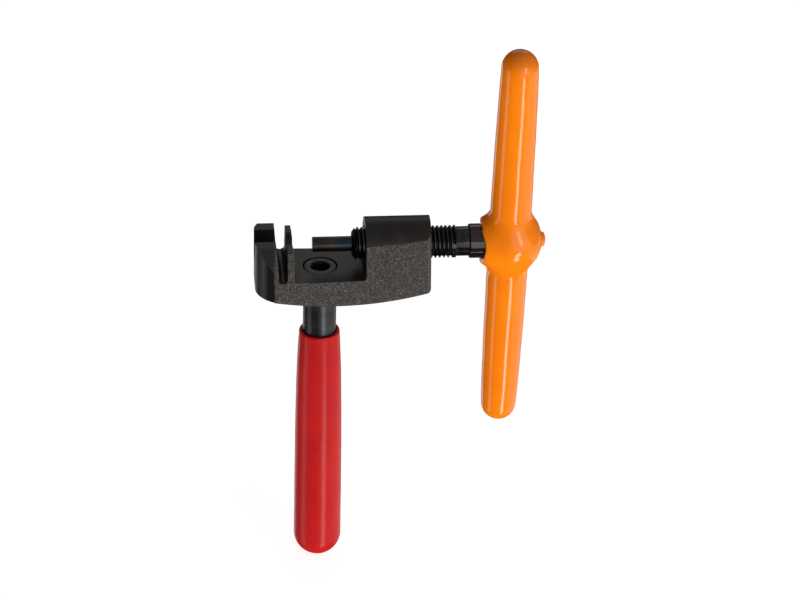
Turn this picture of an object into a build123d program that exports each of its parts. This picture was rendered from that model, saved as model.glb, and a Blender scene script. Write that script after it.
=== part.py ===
from build123d import *
from math import cos, radians, sin
import os

# Bicycle chain tool: a small screw press that drives the rivet out of a chain link.
# Millimetres. The spindle axis is the X axis, with +X towards the T-handle. The handle
# axis is the Z axis, and the handle hangs down -Z. The origin is where the two cross.

# --- spindle and driving pin ---
thread_d = 9.75          # crest diameter of the M10 x 1.25 thread
thread_pitch = 1.25
thread_depth = 0.68
thread_flank = 0.54      # half the width of the groove at its mouth
thread_root = 0.08       # half the width of the groove at its bottom
nose_x = 9.25            # front end of the thread at rest
nose_chamfer = 1.0       # length of the nose's cone
nose_front_r = 3.5
thread_end_x = 40.3
thread_run_out = 0.8     # plain length between the last turn and the neck
thread_end_chamfer = 0.25
neck_d = 8.85
collar_x = 43.95
collar_d = 10.3
pin_d = 4.5
pin_tip_x = -2.45
pin_step_x = 9.1         # where the pin thickens to its shank, just ahead of the spindle's nose
shank_d = 4.9
pin_seat_x = 24.0        # bottom of the pin's bore in the spindle
pin_play = 0.075         # radial clearance of the shank in its bore
pin_end_gap = 0.05
ring_x = 13.0            # retaining ring of the pin
ring_wire_d = 0.8
ring_groove = 0.45       # depth of the ring's groove in the shank

# --- forged body ---
body_left = -19.5
blank_left = -24.0       # end of the forging before its left end is milled
body_right = 32.4
bed_z = -7.2
belly_z = -15.5          # lowest point of the curved underside
belly_x = 6.0
belly_r = 113.0
side_taper = 0.033       # narrowing of each side per millimetre towards the spindle
belly_half = 11.6
bed_half = 10.4
crown_half = 6.45
crown_z = 8.5
end_corner_r = 6.3       # milled left end, seen from above
end_flat_half = 4.0
end_sweep = 80.0         # how far round the milled corner goes, degrees
anvil_top = 3.25
anvil_face_x = -13.4
anvil_notch_r = 3.85
slot_left = -12.85
slot_bottom = -7.3
tooth_left = -10.15
tooth_right = -8.45
tooth_foot_x = -8.1
tooth_top = 2.15
tooth_notch_r = 3.8
facet_top = (7.9, 2.8)   # forged slope outside the anvil and tooth, as (y, z)
facet_foot = (9.6, -1.5)
block_left = 13.1
block_crown_r = 8.0
crown_cut_z = 3.0        # height down to which the block is turned
nut_bore_d = 9.95
bore_chamfer = 0.6
edge_r = 1.4

# --- handle ---
rod_d = 10.0
rod_top = -14.0
rod_end = -105.0
rod_socket_play = 0.05
rod_hole_depth = 15.0
screw_d = 6.0
screw_play = 0.03
screw_length = 16.0
screw_head_d = 9.9
screw_head_h = 4.0
screw_hex = 5.0
screw_hex_depth = 2.6
screw_hex_ease = 0.55     # countersink at the mouth of the hexagon
counterbore_d = 10.4
counterbore_depth = 4.2
screw_hole_d = 6.6
grip_rim_z = -29.0
grip_end_z = -109.4
grip_rim_r = 6.1
grip_neck_r = 6.62
grip_shoulder_r = 6.98
grip_belly_r = 7.28

# --- T-handle ---
bar_x = 56.2
bar_d = 8.5
bar_half = 65.15
bar_shift = -0.45        # the bar sits this far off centre, towards its lower end
bar_tilt = 7.0           # turn of the bar about the spindle at rest, degrees
coat_half = 66.75
coat_middle_r = 6.3
coat_shoulder_r = 5.8    # at four fifths of the straight part
coat_end_r = 5.4
hub_core_d = 13.0
hub_left = 49.4
hub_right = 63.6
lip_x = 47.9             # edge of the coating round the collar
lip_inner_r = 5.6
lip_outer_r = 6.9
hub_belly_x = 57.3
hub_belly_r = 8.4
dome_x = 65.5            # far side of the coated hub
nub_x = 67.1
nub_r = 2.5

os.makedirs("parts", exist_ok=True)


def belly_height(x):
    """Height of the curved underside at x."""
    centre_z = belly_z + belly_r
    return centre_z - (belly_r**2 - (x - belly_x) ** 2) ** 0.5


# Forged body: anvil, slot, supporting tooth, bed and threaded block in one piece
with BuildPart() as body:
    # drafted block, wider at the belly and narrower towards the spindle
    for end_x in (blank_left - 2, body_right + 3):
        narrow = side_taper * end_x
        belly = belly_half - narrow
        bed = bed_half - narrow
        crown = crown_half - narrow
        floor = belly_z - 1
        with BuildSketch(Plane.YZ.offset(end_x)):
            with BuildLine():
                Line((-belly, floor), (belly, floor))
                ThreePointArc((belly, floor), (bed, bed_z), (crown, crown_z))
                Line((crown, crown_z), (-crown, crown_z))
                ThreePointArc((-crown, crown_z), (-bed, bed_z), (-belly, floor))
            make_face()
    loft()

    # side view: underside arc, anvil, slot, tooth, bed and block
    with BuildSketch(Plane.XZ) as side_view:
        with BuildLine():
            Polyline(
                (blank_left, belly_height(blank_left)),
                (blank_left, anvil_top),
                (anvil_face_x, anvil_top),
                (slot_left, anvil_top - 7),
                (slot_left, slot_bottom),
                (tooth_left, slot_bottom),
                (tooth_left, tooth_top),
                (tooth_right, tooth_top),
                (tooth_right, tooth_top - 1.0),
                (tooth_foot_x, tooth_top - 2.0),
                (tooth_foot_x, bed_z),
                (block_left, bed_z),
                (block_left, block_crown_r),
                (body_right, block_crown_r),
                (body_right, belly_height(body_right)),
            )
            ThreePointArc(
                (body_right, belly_height(body_right)),
                (belly_x, belly_z),
                (blank_left, belly_height(blank_left)),
            )
        make_face()
        slot_corners = [
            side_view.vertices().sort_by_distance((slot_left, slot_bottom))[0],
            side_view.vertices().sort_by_distance((tooth_left, slot_bottom))[0],
        ]
        fillet(slot_corners, (tooth_left - slot_left) / 2 - 0.02)
        bed_corners = [
            side_view.vertices().sort_by_distance((tooth_foot_x, bed_z))[0],
            side_view.vertices().sort_by_distance((block_left, bed_z))[0],
        ]
        fillet(bed_corners, 1.0)
    extrude(amount=20, both=True, mode=Mode.INTERSECT)

    # rounded edges of the underside and corners of the spindle end
    belly_face = body.faces().sort_by(Axis.Z)[0]
    end_face = body.faces().sort_by(Axis.X)[-1]
    end_corners = end_face.edges().filter_by(lambda e: abs(e.center().Y) > 4 and e.length > 8)
    fillet(belly_face.outer_wire().edges() + end_corners, edge_r)

    # the left end is milled round in plan, up to a shoulder in the forged sides
    shoulder_x = body_left + end_corner_r * (1 - cos(radians(end_sweep)))
    shoulder_y = end_flat_half + end_corner_r * sin(radians(end_sweep))
    run_out_x = shoulder_x + 0.9
    outer_y = shoulder_y + 3.0
    with BuildSketch(Plane.XY):
        with BuildLine():
            Line((body_left, -end_flat_half), (body_left, end_flat_half))
            RadiusArc((body_left, end_flat_half), (shoulder_x, shoulder_y), end_corner_r)
            Polyline(
                (shoulder_x, shoulder_y),
                (run_out_x, outer_y),
                (body_right, outer_y),
                (body_right, -outer_y),
                (run_out_x, -outer_y),
                (shoulder_x, -shoulder_y),
            )
            RadiusArc((shoulder_x, -shoulder_y), (body_left, -end_flat_half), end_corner_r)
        make_face()
    extrude(amount=20, both=True, mode=Mode.INTERSECT)

    # sloping facets that narrow the tops of the anvil and the tooth
    facet_slope = (facet_foot[0] - facet_top[0]) / (facet_top[1] - facet_foot[1])
    facet_rise = 4.0
    with BuildSketch(Plane.YZ.offset(body_left - 1)):
        with BuildLine():
            Polyline(
                facet_foot,
                (facet_top[0] - facet_slope * facet_rise, facet_top[1] + facet_rise),
                (14, facet_top[1] + facet_rise),
                (14, facet_foot[1]),
                close=True,
            )
        make_face()
        mirror(about=Plane.YZ)
    extrude(amount=tooth_foot_x + 1 - body_left + 1, mode=Mode.SUBTRACT)

    # the block's top is turned round about the spindle axis
    with BuildSketch(Plane.YZ.offset(block_left - 1)):
        with Locations((0, crown_cut_z + 5)):
            Rectangle(30, 10)
        Circle(block_crown_r, mode=Mode.SUBTRACT)
    extrude(amount=body_right - block_left + 2, mode=Mode.SUBTRACT)

    # notches for the chain roller, in line with the spindle
    for notch_r, start_x, end_x in (
        (anvil_notch_r, body_left - 1, slot_left + 1),
        (tooth_notch_r, slot_left + 1, tooth_foot_x + 1),
    ):
        with BuildSketch(Plane.YZ.offset(start_x)):
            Circle(notch_r)
            with Locations((0, 3)):
                Rectangle(2 * notch_r, 6)
        extrude(amount=end_x - start_x, mode=Mode.SUBTRACT)

    # threaded bore of the block, at the clearance of the running thread
    with BuildSketch(Plane.YZ.offset(block_left - 1)):
        Circle(nut_bore_d / 2)
    extrude(amount=body_right - block_left + 2, mode=Mode.SUBTRACT)

    # counterbored hole for the handle screw, and the shallow socket for the rod
    with Locations(Plane.XY.offset(bed_z)):
        CounterBoreHole(screw_hole_d / 2, counterbore_d / 2, counterbore_depth)
    with BuildSketch(Plane.XY.offset(rod_top)):
        Circle(rod_d / 2 + rod_socket_play)
    extrude(amount=-5, mode=Mode.SUBTRACT)

    # eased mouths of the bore
    bore_mouths = body.edges().filter_by(
        lambda e: e.geom_type == GeomType.CIRCLE and abs(e.radius - nut_bore_d / 2) < 0.001
    )
    chamfer(bore_mouths, bore_chamfer)
body.part.label = "forged_body"
export_step(body.part, "parts/forged_body.step")

# Handle rod: plain bar, tapped at the top for the screw that holds the body on it
with BuildPart() as rod:
    with BuildSketch(Plane.XY.offset(rod_top)):
        Circle(rod_d / 2)
    extrude(amount=rod_end - rod_top)
    chamfer(rod.faces().sort_by(Axis.Z)[0].edges(), 0.8)
    with BuildSketch(Plane.XY.offset(rod_top)):
        Circle(screw_d / 2 + screw_play)
    extrude(amount=-rod_hole_depth, mode=Mode.SUBTRACT)
rod.part.label = "handle_rod"
export_step(rod.part, "parts/handle_rod.step")

# Handle screw: M6 low-head socket screw, sunk just under the bed
screw_seat_z = bed_z - counterbore_depth
screw_top_z = screw_seat_z + screw_head_h
with BuildPart() as screw:
    with BuildSketch(Plane.XY.offset(screw_seat_z)):
        Circle(screw_head_d / 2)
    extrude(amount=screw_head_h)
    chamfer(screw.faces().sort_by(Axis.Z)[-1].edges(), 0.3)
    with BuildSketch(Plane.XY.offset(screw_seat_z)):
        Circle(screw_d / 2)
    extrude(amount=-screw_length)
    chamfer(screw.faces().sort_by(Axis.Z)[0].edges(), 0.6)
    with BuildSketch(Plane.XY.offset(screw_top_z)):
        RegularPolygon(screw_hex / 2, 6, major_radius=False)
    extrude(amount=-screw_hex_depth, mode=Mode.SUBTRACT)
    with BuildSketch(Plane.XY.offset(screw_top_z)):
        Circle(screw_hex / 2 + screw_hex_ease)
    extrude(amount=-screw_hex_ease, taper=45, mode=Mode.SUBTRACT)
screw.part.label = "handle_screw"
export_step(screw.part, "parts/handle_screw.step")

# Grip: soft dipped sleeve over the rod, swelling towards its round end
with BuildPart() as grip:
    with BuildSketch(Plane.XZ):
        with BuildLine():
            end_centre_z = grip_end_z + grip_belly_r
            Line((0, grip_end_z), (0, grip_rim_z - 0.6))
            Line((0, grip_rim_z - 0.6), (rod_d / 2, grip_rim_z - 0.6))
            ThreePointArc(
                (rod_d / 2, grip_rim_z - 0.6),
                ((rod_d / 2 + grip_rim_r) / 2, grip_rim_z),
                (grip_rim_r, grip_rim_z - 0.6),
            )
            Spline(
                (grip_rim_r, grip_rim_z - 0.6),
                (grip_neck_r, grip_rim_z - 11),
                (grip_shoulder_r, grip_rim_z - 25),
                (grip_belly_r - 0.05, grip_rim_z - 43),
                (grip_belly_r, end_centre_z),
                tangents=((0.25, -1), (0, -1)),
            )
            RadiusArc((grip_belly_r, end_centre_z), (0, grip_end_z), grip_belly_r)
        make_face()
    revolve(axis=Axis.Z)
    add(rod.part, mode=Mode.SUBTRACT)
grip.part.label = "handle_grip"
export_step(grip.part, "parts/handle_grip.step")

# Spindle: M10 x 1.25 screw with a bored nose, a neck, a collar and a drilled head
bar_direction = Vector(0, 0, 1).rotate(Axis.X, bar_tilt)
bar_centre = Vector(bar_x, 0, 0) + bar_direction * bar_shift
bar_axis = Axis(bar_centre, bar_direction)
bore_r = shank_d / 2 + pin_play
with BuildPart() as spindle:
    with BuildSketch(Plane.XZ):
        with BuildLine():
            Polyline(
                (nose_x, 0),
                (nose_x, nose_front_r),
                (nose_x + nose_chamfer, thread_d / 2),
                (thread_end_x - thread_end_chamfer, thread_d / 2),
                (thread_end_x, neck_d / 2),
                (collar_x, neck_d / 2),
                (collar_x, collar_d / 2 - 0.4),
                (collar_x + 0.4, collar_d / 2),
                (hub_left, collar_d / 2),
                (hub_left, hub_core_d / 2 - 1),
                (hub_left + 1, hub_core_d / 2),
                (hub_right - 2, hub_core_d / 2),
                (hub_right, hub_core_d / 2 - 2),
                (hub_right, nub_r - 0.7),
                (nub_x - 0.8, nub_r - 0.7),
                (nub_x - 0.8, 0),
                close=True,
            )
        make_face()
    revolve(axis=Axis.X)

    # the thread: a helical groove from ahead of the nose to just short of the neck
    with BuildLine() as thread_line:
        Helix(
            pitch=thread_pitch,
            height=thread_end_x - thread_run_out - nose_x + thread_pitch,
            radius=thread_d / 2,
            center=(nose_x - thread_pitch, 0, 0),
            direction=(1, 0, 0),
        )
    groove_start = thread_line.line @ 0
    groove_plane = Plane(groove_start, x_dir=(1, 0, 0), z_dir=thread_line.line % 0)
    radial = groove_start - Vector(nose_x - thread_pitch, 0, 0)
    outward = 1 if groove_plane.y_dir.dot(radial) > 0 else -1
    with BuildSketch(groove_plane):
        with BuildLine():
            Polyline(
                (-thread_flank, 0.1 * outward),
                (thread_flank, 0.1 * outward),
                (thread_root, -thread_depth * outward),
                (-thread_root, -thread_depth * outward),
                close=True,
            )
        make_face()
    sweep(path=thread_line.line, is_frenet=True, mode=Mode.SUBTRACT)

    # bore for the pin, with a groove for its retaining ring
    with BuildSketch(Plane.XZ):
        with BuildLine():
            Polyline(
                (nose_x - 1, 0),
                (nose_x - 1, bore_r),
                (ring_x - ring_wire_d / 2 - 0.2, bore_r),
                (ring_x - ring_wire_d / 2 - 0.2, bore_r + ring_groove + 0.15),
                (ring_x + ring_wire_d / 2 + 0.2, bore_r + ring_groove + 0.15),
                (ring_x + ring_wire_d / 2 + 0.2, bore_r),
                (pin_seat_x, bore_r),
                (pin_seat_x, 0),
                close=True,
            )
        make_face()
    revolve(axis=Axis.X, mode=Mode.SUBTRACT)

    # cross hole for the bar
    with BuildSketch(Plane((bar_x, 0, 0), x_dir=(1, 0, 0), z_dir=bar_direction)):
        Circle(bar_d / 2)
    extrude(amount=hub_core_d, both=True, mode=Mode.SUBTRACT)
spindle.part.label = "spindle"
export_step(spindle.part, "parts/spindle.step")

# Driving pin: hard steel pin that stays still while the spindle turns round it
with BuildPart() as pin:
    with BuildSketch(Plane.XZ):
        with BuildLine():
            groove_half = ring_wire_d / 2 + 0.05
            Polyline(
                (pin_tip_x, 0),
                (pin_tip_x, pin_d / 2 - 0.15),
                (pin_tip_x + 0.15, pin_d / 2),
                (pin_step_x, pin_d / 2),
                (pin_step_x + 0.3, shank_d / 2),
                (ring_x - groove_half, shank_d / 2),
                (ring_x - groove_half, shank_d / 2 - ring_groove),
                (ring_x + groove_half, shank_d / 2 - ring_groove),
                (ring_x + groove_half, shank_d / 2),
                (pin_seat_x - pin_end_gap - 0.4, shank_d / 2),
                (pin_seat_x - pin_end_gap, shank_d / 2 - 0.4),
                (pin_seat_x - pin_end_gap, 0),
                close=True,
            )
        make_face()
    revolve(axis=Axis.X)
pin.part.label = "driving_pin"
export_step(pin.part, "parts/driving_pin.step")

# Retaining ring: split wire ring that keeps the pin in the spindle's nose
ring_mean_r = shank_d / 2 - ring_groove + 0.02 + ring_wire_d / 2
with BuildPart() as ring:
    with BuildSketch(Plane.XZ):
        with Locations((ring_x, ring_mean_r)):
            Circle(ring_wire_d / 2)
    revolve(axis=Axis.X, revolution_arc=320)
ring.part.label = "pin_retaining_ring"
export_step(ring.part, "parts/pin_retaining_ring.step")

# Bar of the T-handle, pressed through the spindle's head
with BuildPart() as bar:
    with BuildSketch(Plane(bar_centre, x_dir=(1, 0, 0), z_dir=bar_direction)):
        Circle(bar_d / 2)
    extrude(amount=bar_half, both=True)
    chamfer(bar.edges().filter_by(GeomType.CIRCLE), 1.2)
bar.part.label = "t_bar"
export_step(bar.part, "parts/t_bar.step")

# Coating of the T-handle: thick dipped skin over the bar and the spindle's head
with BuildPart() as coat:
    with BuildSketch(Plane.XZ):
        with BuildLine():
            Polyline((nub_x, 0), (hub_left, 0), (hub_left, collar_d / 2))
            ThreePointArc(
                (hub_left, collar_d / 2),
                (lip_x + 0.6, (collar_d / 2 + lip_inner_r) / 2),
                (lip_x + 0.3, lip_inner_r),
            )
            ThreePointArc(
                (lip_x + 0.3, lip_inner_r),
                (lip_x, (lip_inner_r + lip_outer_r) / 2),
                (lip_x + 0.6, lip_outer_r),
            )
            Spline(
                (lip_x + 0.6, lip_outer_r),
                (lip_x + 4.0, hub_belly_r - 0.5),
                (hub_belly_x, hub_belly_r),
                (hub_belly_x + 4.2, hub_belly_r - 1.0),
                (dome_x - 1.6, hub_belly_r - 2.6),
                (dome_x, nub_r),
            )
            Spline(
                (dome_x, nub_r),
                (nub_x - 0.5, nub_r - 0.7),
                (nub_x, 0),
                tangents=((1, -0.2), (0, -1)),
            )
        make_face()
    revolve(axis=Axis.X)
    arm_face = Plane(bar_centre, x_dir=(1, 0, 0), z_dir=Vector(1, 0, 0).cross(bar_direction))
    shoulder = 0.8 * (coat_half - coat_end_r)
    with BuildSketch(arm_face):
        with BuildLine():
            Line((0, -coat_half), (0, coat_half))
            RadiusArc((0, coat_half), (coat_end_r, coat_half - coat_end_r), coat_end_r)
            Polyline(
                (coat_end_r, coat_half - coat_end_r),
                (coat_shoulder_r, shoulder),
                (coat_middle_r, 0),
                (coat_shoulder_r, -shoulder),
                (coat_end_r, coat_end_r - coat_half),
            )
            RadiusArc((coat_end_r, coat_end_r - coat_half), (0, -coat_half), coat_end_r)
        make_face()
    revolve(axis=bar_axis)
    add(bar.part, mode=Mode.SUBTRACT)
    add(spindle.part, mode=Mode.SUBTRACT)
coat.part.label = "t_handle_coating"
export_step(coat.part, "parts/t_handle_coating.step")
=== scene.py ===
import math

import bmesh
import bpy
import numpy as np
from mathutils import Matrix, Vector, noise


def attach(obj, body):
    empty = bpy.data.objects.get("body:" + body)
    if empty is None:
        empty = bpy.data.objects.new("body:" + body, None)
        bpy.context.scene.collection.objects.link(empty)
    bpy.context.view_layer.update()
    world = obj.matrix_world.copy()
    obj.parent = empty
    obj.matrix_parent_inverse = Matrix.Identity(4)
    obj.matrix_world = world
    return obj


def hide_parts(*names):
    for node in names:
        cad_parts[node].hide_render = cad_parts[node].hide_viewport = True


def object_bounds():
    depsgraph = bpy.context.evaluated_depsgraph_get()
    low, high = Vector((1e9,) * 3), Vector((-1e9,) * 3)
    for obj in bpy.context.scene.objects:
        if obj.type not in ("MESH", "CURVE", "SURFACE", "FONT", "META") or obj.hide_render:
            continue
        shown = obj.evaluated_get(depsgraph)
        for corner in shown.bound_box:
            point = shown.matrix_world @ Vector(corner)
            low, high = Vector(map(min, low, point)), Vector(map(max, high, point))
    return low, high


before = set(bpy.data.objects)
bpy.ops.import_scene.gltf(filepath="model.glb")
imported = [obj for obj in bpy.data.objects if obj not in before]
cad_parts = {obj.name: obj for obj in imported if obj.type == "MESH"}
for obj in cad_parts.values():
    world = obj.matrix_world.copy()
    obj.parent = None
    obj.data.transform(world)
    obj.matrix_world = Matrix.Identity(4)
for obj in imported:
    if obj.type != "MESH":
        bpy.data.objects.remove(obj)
cad_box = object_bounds()
scene = bpy.context.scene
MM = 0.001

# --- T-handle and its dipped coating, as in the CAD, in millimetres ---
BAR_X = 56.2
BAR_TILT = 7.0  # degrees from the handle
BAR_R = 4.25
BAR_HALF = 65.15
BAR_SHIFT = -0.45  # along the bar, towards its lower end
BAR_CHAMFER = 1.2
COAT_HALF = 66.75
COAT_MIDDLE_R = 6.3
COAT_END_R = 5.4
COAT_EASE = 0.3  # part of the taper that is left to the last of each arm
COAT_VOXEL = 0.42
COAT_RIPPLE = 0.07  # height of the slow unevenness of the dipped skin
HUB_BLEND = 4.2
HUB_REACH = 15.0  # along the bar, past which the hub has no effect
HUB_CORE = [
    (50.3, 0), (50.3, 6.4), (50.4, 6.5), (61.6, 6.5),
    (63.6, 4.5), (63.6, 1.8), (66.3, 1.8), (66.3, 0),
]
CUP_INSIDE = [(49.9, 0), (49.9, 5.17), (48.95, 5.27), (48.55, 5.5)]
CUP_LIP = [(48.3, 5.75), (48.2, 6.15), (48.35, 6.6), (48.8, 6.95)]
HUB_OUTSIDE = [(51.9, 7.7), (57.0, 8.4), (61.5, 7.6), (64.2, 5.8), (65.4, 3.5)]
HUB_NUB = [(65.75, 2.45), (66.55, 2.05), (67.0, 1.1), (67.1, 0)]
RIM_REACH = (1.1, 1.9)  # how much further the rim runs along the collar below and above it
RIM_FADE_X = 52.5  # right of here the hub is round, and the rim's reach grows to its left
RIM_FADE = 3.5
RIM_LEVEL = 0.2  # share of the reach that is taken off all round the rim

# --- handle and its dipped grip, in millimetres ---
ROD_R = 5.0
ROD_END_Z = -105.0
GRIP_RIM_Z = -29.0
GRIP_END_Z = -109.4
GRIP_RIM_R = 6.1
GRIP_BELLY_R = 7.28
GRIP_SWELL = 18.0  # length over which the grip swells from its rim
GRIP_BEAD = 0.6  # how far the rolled rim stands out along the rod
GRIP_RIPPLE = 0.06

# --- where the finishes of the steel pieces change and where shade and light are painted on them, in millimetres: each goes from 0 to 1 ---
RAW_FLANK_Y = (5.4, 5.8)  # away from the body's middle
CROWN_EDGE_Z = 2.25
CROWN_EDGE_SLOPE = 0.058  # rise of that edge along the body
CROWN_EDGE_BLUR = 0.06
LEFT_END_X = (-13.98, -14.18)
BLOCK_LEFT_X = (12.4, 12.8)
BLOCK_RIGHT_X = (30.0, 30.6)
# the anvil's notch, where shade is painted
NOTCH_Y = (4.1, 3.9)
NOTCH_X = (-7.9, -8.3)
THREAD_X = (40.4, 40.2)
CREST_R = (4.8, 4.87)
# the thread roots, where shade is painted
ROOT_R = (4.62, 4.3)
COLLAR_X = (43.9, 44.2)
PIN_STRAW_X = (-0.5, 3.5)
PIN_BLUE_X = (3.5, 6.5)
PIN_RIM_X = (-2.2, -2.42)

# --- studio: angles in degrees, azimuth 0 is the working side and 90 the T-handle side ---
FLOOR_GAP = 0.0002  # metres under the grip
FLOOR_SIZE = 6.0
FLOOR_GLOW = 0.85
WORLD_BACK = 0.035
WORLD_FRONT = 0.36
WORLD_FADE = (-0.25, 0.85)  # cosine to WORLD_TOWARDS where the world is dimmest and brightest
WORLD_TOWARDS = (48, 52)  # azimuth and elevation
LAMP_AIM = (0.02, 0, -0.02)  # metres
LAMP_DISTANCE = 0.9
LAMPS = (
    # name, azimuth, elevation, width and height in metres, brightness
    ("strip_low_right", 25, -43, 0.16, 0.5, 10.5),
    ("strip_right", 31, 8, 0.14, 0.5, 6.0),
    ("panel_front", 28, -1, 0.95, 0.7, 1.25),
    ("side_left", -78, -30, 0.22, 0.8, 2.0),
    ("side_right", 95, -34, 1.3, 0.6, 0.8),
    ("edge_left", -146, -26, 0.2, 0.6, 1.6),
    ("backdrop", 174, -30, 0.7, 0.45, 0.8),
    ("over_back", 172, 33, 0.7, 0.4, 0.8),
)
CAMERA_AZIMUTH = -5.75
CAMERA_ELEVATION = 30.2
CAMERA_ROLL = 1.48
CAMERA_PLACE = (-0.0589, -0.8245, 0.4625)  # metres
CAMERA_LENS = 144.0
CAMERA_SENSOR = 36.0
CAMERA_CLIP = (0.05, 20.0)


# --------------------------------------------------------------------------
# meshes
# --------------------------------------------------------------------------


def smooth_line(points, steps=8):
    """Catmull-Rom curve through the points."""
    p = np.array([points[0], *points, points[-1]], float)
    out = []
    for a, b, c, d in zip(p, p[1:], p[2:], p[3:]):
        for t in np.arange(steps) / steps:
            square = 2 * a - 5 * b + 4 * c - d
            cube = 3 * b - 3 * c + d - a
            out.append(0.5 * (2 * b + (c - a) * t + square * t**2 + cube * t**3))
    return np.array([*out, p[-1]])


def lathe(name, profile, origin, axis, segments=96):
    """Closed solid turned from (distance along axis, radius) pairs in millimetres.

    The pairs start and end on the axis.
    """
    axis = Vector(axis).normalized()
    side = axis.orthogonal().normalized()
    up = axis.cross(side)
    bm = bmesh.new()
    rings = []
    for t, r in profile:
        centre = (Vector(origin) + axis * float(t)) * MM
        if r < 1e-6:
            rings.append([bm.verts.new(centre)])
            continue
        ring = []
        for k in range(segments):
            a = 2 * math.pi * k / segments
            out = side * math.cos(a) + up * math.sin(a)
            ring.append(bm.verts.new(centre + out * float(r) * MM))
        rings.append(ring)
    for low, high in zip(rings, rings[1:]):
        for k in range(segments):
            n = (k + 1) % segments
            if len(low) == 1:
                bm.faces.new((low[0], high[n], high[k]))
            elif len(high) == 1:
                bm.faces.new((low[k], low[n], high[0]))
            else:
                bm.faces.new((low[k], low[n], high[n], high[k]))
    bmesh.ops.recalc_face_normals(bm, faces=bm.faces)
    return mesh_object(name, bm)


def mesh_object(name, bm):
    """Object made from a bmesh, which is freed."""
    mesh = bpy.data.meshes.new(name)
    bm.to_mesh(mesh)
    bm.free()
    mesh.shade_smooth()
    obj = bpy.data.objects.new(name, mesh)
    scene.collection.objects.link(obj)
    return obj


def apply_modifiers(obj):
    """Makes the modifiers part of the object's mesh."""
    bpy.context.view_layer.update()
    evaluated = obj.evaluated_get(bpy.context.evaluated_depsgraph_get())
    mesh = bpy.data.meshes.new_from_object(evaluated)
    obj.modifiers.clear()
    obj.data = mesh
    mesh.shade_smooth()


def drop(obj):
    bpy.data.objects.remove(obj)


def join(obj, other):
    """Adds the other object's mesh to this one's."""
    bm = bmesh.new()
    bm.from_mesh(obj.data)
    bm.from_mesh(other.data)
    bm.to_mesh(obj.data)
    bm.free()
    obj.data.shade_smooth()
    drop(other)


def get_points(obj):
    """The mesh's points as rows in millimetres."""
    co = np.zeros(len(obj.data.vertices) * 3)
    obj.data.vertices.foreach_get("co", co)
    return co.reshape(-1, 3) / MM


def set_points(obj, points):
    obj.data.vertices.foreach_set("co", (points * MM).ravel())
    obj.data.update()


def ripple(obj, height, length, seed, chosen=None):
    """Moves points along their normals by a slow noise, as a dipped skin is never quite even.

    Lengths are in millimetres, and chosen says which points may move.
    """
    points = get_points(obj)
    normals = np.zeros(points.size)
    obj.data.vertices.foreach_get("normal", normals)
    shift = np.array([noise.noise(Vector(p / length + seed)) for p in points]) * height
    if chosen is not None:
        shift = shift * chosen
    set_points(obj, points + normals.reshape(-1, 3) * shift[:, None])


tilt = math.radians(BAR_TILT)
bar_axis = np.array([0, -math.sin(tilt), math.cos(tilt)])
bar_centre = np.array([BAR_X, 0, 0]) + BAR_SHIFT * bar_axis
hub_line = np.array(
    [*CUP_INSIDE[:2], *smooth_line(CUP_INSIDE[1:] + CUP_LIP + HUB_OUTSIDE + HUB_NUB, 6)[1:]]
)


def arm_distance(p):
    """Distance from the tapered, round-ended arms."""
    reach = COAT_HALF - COAT_END_R
    along = (p - bar_centre) @ bar_axis
    held = np.clip(along, -reach, reach)
    part = np.abs(held) / reach
    taper = (COAT_END_R + COAT_EASE - COAT_MIDDLE_R) * part
    radius = COAT_MIDDLE_R + taper - COAT_EASE * part**8
    return np.linalg.norm(p - bar_centre - held[:, None] * bar_axis, axis=1) - radius


def hub_distance(p):
    """Signed distance from the hub, which is turned round the spindle axis."""
    radius = np.hypot(p[:, 1], p[:, 2])
    in_line = ((p @ bar_axis) / np.maximum(radius, 0.1)) ** 4
    near_rim = np.clip((RIM_FADE_X - p[:, 0]) / RIM_FADE, 0, 1)
    reach = np.where(p @ bar_axis > 0, RIM_REACH[1], RIM_REACH[0])
    q = np.stack([p[:, 0] + reach * (in_line - RIM_LEVEL) * near_rim, radius], axis=1)
    best = np.full(len(q), np.inf)
    inside = np.zeros(len(q), bool)
    for a, b in zip(hub_line, hub_line[1:]):
        run = b - a
        t = np.clip(((q - a) @ run) / max(run @ run, 1e-12), 0, 1)
        best = np.minimum(best, np.linalg.norm(q - a - t[:, None] * run, axis=1))
        crosses = (a[0] > q[:, 0]) != (b[0] > q[:, 0])
        if abs(run[0]) > 1e-12:
            inside ^= crosses & (q[:, 1] < a[1] + (q[:, 0] - a[0]) * run[1] / run[0])
    return np.where(inside, -best, best)


def coating_distance(p):
    """Smooth union of the arms and the hub."""
    a = arm_distance(p)
    h = np.full(len(p), 1e3)  # far away, where the hub has no effect
    near = np.abs(p @ bar_axis) < HUB_REACH
    h[near] = hub_distance(p[near])
    mix = np.clip(0.5 + 0.5 * (h - a) / HUB_BLEND, 0, 1)
    return h + (a - h) * mix - HUB_BLEND * mix * (1 - mix)


def settle(points, distance, rounds, step=0.02, most=0.8, flattest=0.25):
    """Moves points onto the surface where distance is zero, by at most so many millimetres a round.

    The slope is measured over twice the step, and its square counts as no less than flattest.
    """
    for _ in range(rounds):
        slope = np.stack(
            [
                (distance(points + step * e) - distance(points - step * e)) / (2 * step)
                for e in np.eye(3)
            ],
            axis=1,
        )
        size = np.maximum((slope**2).sum(1, keepdims=True), flattest)
        points = points - np.clip(distance(points), -most, most)[:, None] * slope / size
    return points


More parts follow.
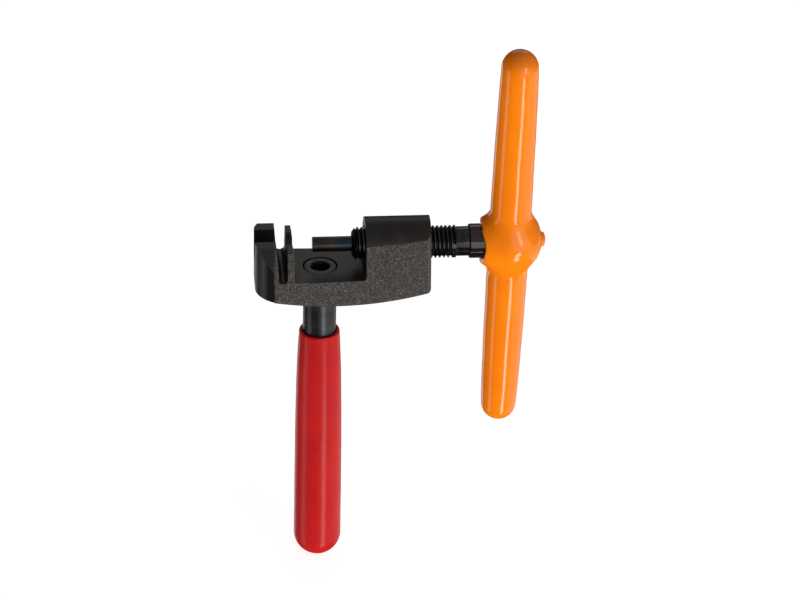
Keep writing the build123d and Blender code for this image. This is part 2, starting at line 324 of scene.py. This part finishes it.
def make_coating():
    """Dipped skin of the T-handle: one smooth piece over the bar, the hub and the collar's cup."""
    reach = COAT_HALF - COAT_END_R
    cap = [
        (reach + COAT_END_R * math.sin(a), COAT_END_R * math.cos(a))
        for a in np.radians(np.arange(6, 90, 6))
    ]
    half = [(0, COAT_MIDDLE_R), (reach, COAT_END_R), *cap, (COAT_HALF, 0)]
    both = [(-t, r) for t, r in reversed(half)] + half[1:]
    arms = lathe("arms_blank", both, bar_centre, bar_axis)
    coat = lathe("t_handle_skin", hub_line, (0, 0, 0), (1, 0, 0))
    join(coat, arms)
    remesh = coat.modifiers.new("remesh", "REMESH")
    remesh.mode, remesh.voxel_size = "VOXEL", COAT_VOXEL * MM
    apply_modifiers(coat)
    set_points(coat, settle(get_points(coat), coating_distance, rounds=4))
    ripple(coat, COAT_RIPPLE, length=13, seed=4.1)

    core = lathe("core_blank", HUB_CORE, (0, 0, 0), (1, 0, 0), 48)
    end = [(BAR_HALF - BAR_CHAMFER, BAR_R), (BAR_HALF, BAR_R - BAR_CHAMFER), (BAR_HALF, 0)]
    both = [(-t, r) for t, r in reversed(end)] + end
    bar = lathe("bar_blank", both, bar_centre, bar_axis, 48)
    union = core.modifiers.new("union", "BOOLEAN")
    union.operation, union.solver, union.object = "UNION", "EXACT", bar
    apply_modifiers(core)
    drop(bar)
    core.data.flip_normals()
    join(coat, core)
    return coat


def make_grip():
    """Dipped sleeve of the handle, with a rolled rim and a round end."""
    rim = GRIP_RIM_Z - GRIP_BEAD
    mid = (ROD_R + GRIP_RIM_R) / 2
    half = (GRIP_RIM_R - ROD_R) / 2
    end_z = GRIP_END_Z + GRIP_BELLY_R
    bore = [(z, ROD_R) for z in np.linspace(ROD_END_Z + 1, rim - 1, 60)]
    inside = [(ROD_END_Z, 0), (ROD_END_Z, ROD_R), *bore]
    bead = [
        (rim + GRIP_BEAD * math.sin(a), mid - half * math.cos(a))
        for a in np.linspace(0, math.pi, 11)
    ]
    wall = [
        (z, GRIP_BELLY_R - (GRIP_BELLY_R - GRIP_RIM_R) * math.exp((z - rim) / GRIP_SWELL))
        for z in np.linspace(rim - 0.4, end_z, 170)
    ]
    end_r = wall[-1][1]
    cap = [
        (end_z - GRIP_BELLY_R * math.sin(a), end_r * math.cos(a))
        for a in np.linspace(0.06, math.pi / 2 - 0.04, 26)
    ]
    profile = [*inside, *bead, *wall, *cap, (GRIP_END_Z, 0)]
    grip = lathe("grip_skin", profile, (0, 0, 0), (0, 0, 1), 128)
    points = get_points(grip)
    away = np.hypot(points[:, 0], points[:, 1])
    outside = (away > ROD_R + 0.3) | (points[:, 2] < ROD_END_Z - 0.5)
    ripple(grip, GRIP_RIPPLE, length=11, seed=2.3, chosen=outside)
    return grip


# --------------------------------------------------------------------------
# materials
# --------------------------------------------------------------------------


class Paint:
    """Small helper that builds a procedural material; lengths given to it are in millimetres."""

    def __init__(self, name):
        self.mat = bpy.data.materials.new(name)
        self.mat.use_nodes = True
        self.tree = self.mat.node_tree
        self.bsdf = self.tree.nodes["Principled BSDF"]
        place = self.add("ShaderNodeTexCoord")
        self.point = place.outputs["Object"]
        self.normal = place.outputs["Normal"]

    def add(self, kind, inputs=(), **settings):
        node = self.tree.nodes.new(kind)
        for key, value in settings.items():
            setattr(node, key, value)
        for key, value in dict(inputs).items():
            self.set(node.inputs[key], value)
        return node

    def set(self, socket, value):
        if isinstance(value, bpy.types.NodeSocket):
            self.tree.links.new(value, socket)
        else:
            socket.default_value = value

    def shader(self, **inputs):
        for key, value in inputs.items():
            self.set(self.bsdf.inputs[key.replace("_", " ")], value)

    def math(self, operation, a, b=0.0, c=0.0):
        return self.add("ShaderNodeMath", {0: a, 1: b, 2: c}, operation=operation).outputs[0]

    def plus(self, a, b):
        return self.math("ADD", a, b)

    def times(self, first, *others):
        for other in others:
            first = self.math("MULTIPLY", first, other)
        return first

    def without(self, value):
        """1 where value is 0, and 0 where it is 1."""
        return self.math("SUBTRACT", 1.0, value)

    def size(self, value):
        return self.math("ABSOLUTE", value)

    def split(self, vector):
        node = self.add("ShaderNodeSeparateXYZ", {0: vector})
        return node.outputs[0], node.outputs[1], node.outputs[2]

    def stretch(self, scale):
        """Coordinates in millimetres, divided by the given lengths."""
        factor = tuple(1 / (MM * s) for s in scale)
        node = self.add(
            "ShaderNodeVectorMath", {0: self.point, 1: factor}, operation="MULTIPLY"
        )
        return node.outputs[0]

    def noise(self, size, detail=3.0, roughness=0.55):
        """Noise from 0 to 1 with spots of the given size, one number or one along each axis."""
        scale = size if isinstance(size, tuple) else (size, size, size)
        inputs = {
            "Vector": self.stretch(scale),
            "Scale": 1.0,
            "Detail": detail,
            "Roughness": roughness,
        }
        return self.add("ShaderNodeTexNoise", inputs).outputs[0]

    def band(self, value, low, high):
        """0 below low and 1 above high, smoothly; falls instead of rising if low is over high."""
        if low > high:
            return self.without(self.band(value, high, low))
        node = self.add(
            "ShaderNodeMapRange",
            {"Value": value, "From Min": low, "From Max": high, "To Min": 0.0, "To Max": 1.0},
            interpolation_type="SMOOTHSTEP",
        )
        return node.outputs[0]

    def past(self, length, span):
        """Band whose two ends are in millimetres."""
        return self.band(length, span[0] * MM, span[1] * MM)

    def range(self, value, low, high):
        """Spreads 0..1 over low..high."""
        return self.math("MULTIPLY_ADD", value, high - low, low)

    def mix(self, amount, a, b):
        """Colour between a and b."""
        node = self.add("ShaderNodeMix", data_type="RGBA")
        self.set(node.inputs[0], amount)
        self.set(node.inputs[6], a)
        self.set(node.inputs[7], b)
        return node.outputs[2]

    def cover(self, colour, mask, strength, paint):
        """Colour with paint over it where mask is 1, at that strength."""
        return self.mix(self.times(mask, strength), colour, paint)

    def blend(self, amount, a, b):
        """Number between a and b."""
        node = self.add("ShaderNodeMix", data_type="FLOAT")
        self.set(node.inputs[0], amount)
        self.set(node.inputs[2], a)
        self.set(node.inputs[3], b)
        return node.outputs[0]

    def bump(self, height, depth, strength=1.0, normal=None):
        """Bump whose full height is depth millimetres."""
        inputs = {"Strength": strength, "Distance": depth * MM, "Height": height}
        node = self.add("ShaderNodeBump", inputs)
        if normal is not None:
            self.set(node.inputs["Normal"], normal)
        return node.outputs[0]

    def soft_edges(self, radius):
        """Normal that is rounded over at the edges."""
        return self.add("ShaderNodeBevel", {"Radius": radius * MM}, samples=6).outputs[0]

    def edges(self, radius, low=0.02, high=0.2):
        """1 within about radius of a sharp edge; low and high bound the turn of the normal."""
        true = self.add("ShaderNodeNewGeometry").outputs["True Normal"]
        dot = self.add(
            "ShaderNodeVectorMath", {0: self.soft_edges(radius), 1: true}, operation="DOT_PRODUCT"
        )
        return self.band(self.without(dot.outputs["Value"]), low, high)

    def worn_edges(self, radius, patch, detail, low):
        """Edges that are worn unevenly, from low to 1, in patches of that size."""
        return self.times(self.edges(radius), self.range(self.noise(patch, detail), low, 1.0))

    def radius(self):
        """Distance from the spindle axis, in metres."""
        _, y, z = self.split(self.point)
        return self.math("SQRT", self.plus(self.times(y, y), self.times(z, z)))


def rgb(r, g, b):
    return (r, g, b, 1.0)


def forging():
    """Blasted, blackened forging whose bed, crown, slot and left end are machined smooth."""
    p = Paint("black_forging_look")
    x, y, z = p.split(p.point)
    nx, ny, nz = p.split(p.normal)

    # where the skin of the forging is left: on the flanks below the crown, and underneath
    wide = p.past(p.size(y), RAW_FLANK_Y)
    edge = p.math("MULTIPLY_ADD", x, CROWN_EDGE_SLOPE, CROWN_EDGE_Z * MM)
    below_crown = p.past(p.math("SUBTRACT", z, edge), (CROWN_EDGE_BLUR, -CROWN_EDGE_BLUR))
    side = p.times(p.band(p.size(ny), 0.3, 0.4), wide, below_crown)
    under = p.band(nz, -0.3, -0.5)
    left_end = p.past(x, LEFT_END_X)
    raw = p.times(p.math("MAXIMUM", side, under), p.band(nx, 0.75, 0.55))
    raw = p.times(raw, p.without(left_end))

    grain = p.noise(0.16, 2.0, 0.65)
    coarse = p.noise(0.7, 3.0)
    cloud = p.noise(6.0, 2.0)
    spark = p.band(p.plus(grain, p.times(coarse, 0.35)), 0.68, 0.86)
    rough_dark = p.mix(cloud, rgb(0.022, 0.019, 0.0173), rgb(0.038, 0.0335, 0.0303))
    rough_colour = p.mix(spark, rough_dark, rgb(0.21, 0.190, 0.174))

    # the machined faces: milled, with painted shade on the crown and in the notch; at the left end,
    # painted light where the faces turn left and painted shade where they turn towards the front
    marks = p.noise((9.0, 9.0, 0.11), 2.0)
    swirl = p.noise((0.16, 6.0, 6.0), 2.0)
    smudge = p.noise(3.5, 4.0, 0.6)
    milled = p.mix(
        p.band(smudge, 0.35, 0.7), rgb(0.027, 0.0245, 0.023), rgb(0.041, 0.037, 0.035)
    )
    # painted light and shade on the left end: light where its faces turn left, dark where they turn
    # towards the front
    left_end_light_and_shade = p.mix(
        p.band(nx, -0.4, -0.72), rgb(0.0045, 0.004, 0.0037), rgb(0.026, 0.0245, 0.0225)
    )
    above_crown = p.times(p.without(below_crown), p.past(x, BLOCK_LEFT_X))
    crown = p.times(above_crown, p.band(p.size(nx), 0.6, 0.4))
    notch = p.times(p.past(p.size(y), NOTCH_Y), p.past(x, NOTCH_X))
    milled = p.mix(left_end, milled, left_end_light_and_shade)
    # painted shade on the top of the nut block
    milled = p.cover(milled, crown, 0.5, rgb(0.012, 0.0095, 0.0085))
    # painted shade in the anvil's notch
    milled = p.cover(milled, notch, 0.75, rgb(0.004, 0.0035, 0.003))

    wear = p.worn_edges(0.28, 1.6, 3.0, 0.15)
    corner = p.times(p.band(nx, 0.12, 0.35), p.band(p.size(ny), 0.15, 0.4))
    corner = p.times(corner, p.past(x, BLOCK_RIGHT_X))
    colour = p.mix(raw, milled, rough_colour)
    colour = p.cover(colour, corner, 0.7, rgb(0.105, 0.082, 0.064))
    colour = p.cover(colour, wear, 0.6, rgb(0.15, 0.135, 0.122))

    smooth_rough = p.range(p.plus(p.times(smudge, 0.7), p.times(marks, 0.3)), 0.34, 0.52)
    roughness = p.blend(raw, smooth_rough, p.range(grain, 0.5, 0.75))
    roughness = p.blend(wear, roughness, 0.3)
    relief = p.bump(p.times(p.plus(grain, coarse), raw), 0.11, 0.9, p.soft_edges(0.22))
    tool_marks = p.times(p.plus(marks, swirl), p.without(raw))
    relief = p.bump(tool_marks, 0.006, 0.5, relief)
    p.shader(
        Base_Color=colour,
        Metallic=p.blend(left_end, p.blend(raw, 0.45, 0.3), 0.1),
        Roughness=roughness,
        Normal=relief,
        Specular_IOR_Level=0.3,
    )
    return p.mat


def black_steel(name, dark, light, rough, lines, wear_colour=rgb(0.2, 0.19, 0.18)):
    """Bar or fastener: lines gives the spot size of its drawing or turning marks on each axis."""
    p = Paint(name)
    cloud = p.noise(4.5, 4.0, 0.6)
    fine = p.noise(0.25, 2.0)
    drawn = p.noise(lines, 3.0)
    wear = p.worn_edges(0.16, 0.9, 2.0, 0.2)
    tone = p.plus(p.times(cloud, 0.6), p.times(drawn, 0.4))
    colour = p.mix(p.band(tone, 0.35, 0.68), dark, light)
    colour = p.cover(colour, p.band(fine, 0.68, 0.8), 0.5, rgb(0.10, 0.095, 0.09))
    colour = p.cover(colour, wear, 0.7, wear_colour)
    p.shader(
        Base_Color=colour,
        Metallic=0.85,
        Roughness=p.range(tone, *rough),
        Normal=p.bump(drawn, 0.004, 0.5, p.soft_edges(0.15)),
    )
    return p.mat


def spindle_steel():
    """Turned, blackened spindle: glossy neck and collar, worn thread crests, and painted shade in
    the thread roots.
    """
    p = Paint("spindle_look")
    x, _, _ = p.split(p.point)
    r = p.radius()
    threaded = p.past(x, THREAD_X)
    plain = p.without(threaded)
    crest = p.times(p.past(r, CREST_R), threaded)
    root = p.times(p.past(r, ROOT_R), threaded)
    collar = p.past(x, COLLAR_X)
    patch = p.noise(2.6, 4.0, 0.6)
    turned = p.noise((0.09, 7.0, 7.0), 2.0)

    blue = p.mix(p.band(patch, 0.4, 0.65), rgb(0.034, 0.033, 0.035), rgb(0.052, 0.058, 0.070))
    crest_wear = p.range(p.noise(1.1, 3.0), 0.0, 0.6)
    wear = p.times(p.edges(0.14), plain, p.range(p.noise(0.8, 2.0), 0.1, 0.8))
    colour = p.cover(blue, crest, crest_wear, rgb(0.085, 0.080, 0.078))
    # painted shade in the thread roots
    colour = p.cover(colour, root, 0.8, rgb(0.007, 0.0065, 0.006))
    colour = p.cover(colour, collar, 0.85, rgb(0.070, 0.060, 0.055))
    colour = p.cover(colour, wear, 0.5, rgb(0.16, 0.15, 0.145))

    tone = p.range(p.plus(p.times(patch, 0.5), p.times(turned, 0.5)), 0.07, 0.15)
    p.shader(
        Base_Color=colour,
        Metallic=0.95,
        Roughness=p.blend(root, tone, 0.5),
        Normal=p.bump(turned, 0.0015, 0.5),
    )
    return p.mat


def pin_steel():
    """Ground and tempered pin: a faint straw and blue tint away from its end, and a worn rim."""
    p = Paint("pin_look")
    x, _, _ = p.split(p.point)
    ground = p.noise((0.07, 6.0, 6.0), 2.0)
    patch = p.noise(2.0, 3.0)
    along = p.plus(x, p.times(p.math("SUBTRACT", patch, 0.5), 3.0 * MM))
    colour = p.mix(
        p.past(along, PIN_STRAW_X), rgb(0.044, 0.036, 0.032), rgb(0.058, 0.050, 0.044)
    )
    colour = p.mix(p.past(along, PIN_BLUE_X), colour, rgb(0.032, 0.043, 0.055))
    wear = p.math("MAXIMUM", p.edges(0.15), p.past(x, PIN_RIM_X))
    colour = p.cover(colour, wear, 0.7, rgb(0.25, 0.24, 0.23))
    p.shader(
        Base_Color=colour,
        Metallic=0.95,
        Roughness=p.range(ground, 0.14, 0.34),
        Normal=p.bump(ground, 0.003, 0.5, p.soft_edges(0.12)),
    )
    return p.mat


def dipped(name, colour, deep, light, rough, shine, pebble):
    """Dipped PVC: even colour, a little deeper in places, a soft gloss and a faint orange-peel."""
    p = Paint(name)
    cloud = p.noise(14.0, 2.0)
    flow = p.noise((5.0, 5.0, 18.0), 3.0)
    peel = p.noise(0.9, 2.0)
    speck = p.band(p.noise(0.22, 1.0), 0.76, 0.82)
    tone = p.plus(p.times(cloud, 0.6), p.times(flow, 0.4))
    base = p.mix(p.band(tone, 0.3, 0.7), deep, colour)
    p.shader(
        Base_Color=p.cover(base, speck, 0.25, light),
        Roughness=p.range(p.plus(p.times(flow, 0.6), p.times(peel, 0.4)), *rough),
        IOR=1.5,
        Specular_IOR_Level=shine,
        Subsurface_Weight=0.06,
        Subsurface_Radius=(1.0, 0.35, 0.1),
        Subsurface_Scale=0.0012,
        Normal=p.bump(p.plus(peel, p.times(flow, 2.0)), pebble, 0.6),
    )
    return p.mat


def paint_node(name, material):
    """Gives a CAD node that material in every slot."""
    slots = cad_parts[name].material_slots
    if not slots:
        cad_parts[name].data.materials.append(material)
    for s in slots:
        s.material = material


rod_look = black_steel(
    "rod_look",
    dark=rgb(0.030, 0.030, 0.032),
    light=rgb(0.062, 0.063, 0.067),
    rough=(0.3, 0.46),
    lines=(0.35, 0.35, 22.0),
)
screw_look = black_steel(
    "screw_look",
    dark=rgb(0.016, 0.015, 0.015),
    light=rgb(0.036, 0.034, 0.034),
    rough=(0.28, 0.45),
    lines=(3.0, 3.0, 0.1),
)
ring_look = black_steel(
    "ring_look",
    dark=rgb(0.22, 0.22, 0.225),
    light=rgb(0.34, 0.34, 0.345),
    rough=(0.2, 0.34),
    lines=(0.1, 3.0, 3.0),
    wear_colour=rgb(0.5, 0.5, 0.5),
)
bar_look = black_steel(
    "bar_look",
    dark=rgb(0.30, 0.30, 0.31),
    light=rgb(0.42, 0.42, 0.43),
    rough=(0.25, 0.4),
    lines=(0.3, 0.3, 20.0),
    wear_colour=rgb(0.5, 0.5, 0.5),
)
paint_node("forged_body", forging())
paint_node("handle_rod", rod_look)
paint_node("handle_screw", screw_look)
paint_node("spindle", spindle_steel())
paint_node("driving_pin", pin_steel())
paint_node("pin_retaining_ring", ring_look)
paint_node("t_bar", bar_look)

coating = make_coating()
coating.data.materials.clear()
coating.data.materials.append(
    dipped(
        "orange_dip_look",
        colour=rgb(0.88, 0.208, 0.0008),
        deep=rgb(0.81, 0.182, 0.0006),
        light=rgb(0.95, 0.30, 0.01),
        rough=(0.11, 0.17),
        shine=0.34,
        pebble=0.006,
    )
)
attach(coating, "screw")
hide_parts("t_handle_coating")

grip = make_grip()
grip.data.materials.clear()
grip.data.materials.append(
    dipped(
        "red_dip_look",
        colour=rgb(0.50, 0.0075, 0.008),
        deep=rgb(0.43, 0.0055, 0.006),
        light=rgb(0.62, 0.03, 0.03),
        rough=(0.24, 0.33),
        shine=0.16,
        pebble=0.012,
    )
)
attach(grip, "frame")
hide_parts("handle_grip")


# --------------------------------------------------------------------------
# floor, lights and camera
# --------------------------------------------------------------------------


def make_floor():
    """Plain pale floor under the end of the grip, which reflects in nothing and takes no shadow."""
    bm = bmesh.new()
    bmesh.ops.create_grid(bm, x_segments=1, y_segments=1, size=FLOOR_SIZE)
    floor = mesh_object("floor", bm)
    floor.location = (0, 0, cad_box[0].z - FLOOR_GAP)
    mat = bpy.data.materials.new("floor_look")
    mat.use_nodes = True
    shader = mat.node_tree.nodes["Principled BSDF"]
    shader.inputs["Base Color"].default_value = rgb(0.5, 0.5, 0.5)
    shader.inputs["Emission Color"].default_value = rgb(1.0, 1.0, 1.0)
    shader.inputs["Emission Strength"].default_value = FLOOR_GLOW
    shader.inputs["Roughness"].default_value = 0.9
    shader.inputs["Specular IOR Level"].default_value = 0.1
    floor.data.materials.append(mat)
    floor.visible_glossy = False
    floor.visible_shadow = False


def direction(azimuth, elevation):
    """Unit vector from the object towards those angles."""
    a, e = math.radians(azimuth), math.radians(elevation)
    return Vector((math.sin(a) * math.cos(e), -math.cos(a) * math.cos(e), math.sin(e)))


def softbox(name, azimuth, elevation, width, height, brightness):
    """Rectangular lamp of that size in metres, turned towards the object."""
    lamp = bpy.data.lights.new(name, "AREA")
    lamp.shape, lamp.size, lamp.size_y = "RECTANGLE", width, height
    lamp.energy = brightness * width * height * math.pi
    obj = bpy.data.objects.new(name, lamp)
    back = direction(azimuth, elevation)
    obj.location = Vector(LAMP_AIM) + back * LAMP_DISTANCE
    obj.rotation_mode = "QUATERNION"
    obj.rotation_quaternion = (-back).to_track_quat("-Z", "Y")
    obj.visible_camera = False
    scene.collection.objects.link(obj)


def make_world():
    """Pale studio, brightest over the right of the working side; the camera sees it white."""
    world = bpy.data.worlds.new("studio")
    world.use_nodes = True
    tree = world.node_tree
    place = tree.nodes.new("ShaderNodeTexCoord")
    facing = tree.nodes.new("ShaderNodeVectorMath")
    facing.operation = "DOT_PRODUCT"
    facing.inputs[1].default_value = direction(*WORLD_TOWARDS)
    tree.links.new(place.outputs["Generated"], facing.inputs[0])
    level = tree.nodes.new("ShaderNodeMapRange")
    level.interpolation_type = "SMOOTHSTEP"
    level.inputs["From Min"].default_value, level.inputs["From Max"].default_value = WORLD_FADE
    level.inputs["To Min"].default_value = WORLD_BACK
    level.inputs["To Max"].default_value = WORLD_FRONT
    tree.links.new(facing.outputs["Value"], level.inputs["Value"])
    path = tree.nodes.new("ShaderNodeLightPath")
    seen = tree.nodes.new("ShaderNodeMath")
    seen.operation = "MAXIMUM"
    tree.links.new(path.outputs["Is Camera Ray"], seen.inputs[0])
    tree.links.new(level.outputs[0], seen.inputs[1])
    background = tree.nodes["Background"]
    background.inputs["Color"].default_value = rgb(1.0, 1.0, 1.0)
    tree.links.new(seen.outputs[0], background.inputs["Strength"])
    scene.world = world


def make_camera():
    """Long lens, a little left of the working side and about 30 degrees above it."""
    azimuth, roll = math.radians(CAMERA_AZIMUTH), math.radians(CAMERA_ROLL)
    back = direction(CAMERA_AZIMUTH, CAMERA_ELEVATION)
    right = Vector((math.cos(azimuth), math.sin(azimuth), 0))
    up = back.cross(right)
    turned_right = right * math.cos(roll) + up * math.sin(roll)
    turned_up = up * math.cos(roll) - right * math.sin(roll)
    data = bpy.data.cameras.new("camera")
    data.lens, data.sensor_width = CAMERA_LENS, CAMERA_SENSOR
    data.clip_start, data.clip_end = CAMERA_CLIP
    camera = bpy.data.objects.new("camera", data)
    scene.collection.objects.link(camera)
    turn = Matrix((turned_right, turned_up, back)).transposed()
    camera.matrix_world = Matrix.Translation(Vector(CAMERA_PLACE)) @ turn.to_4x4()
    scene.camera = camera


make_floor()
make_world()
for lamp in LAMPS:
    softbox(*lamp)
make_camera()
scene.view_settings.view_transform = "Standard"
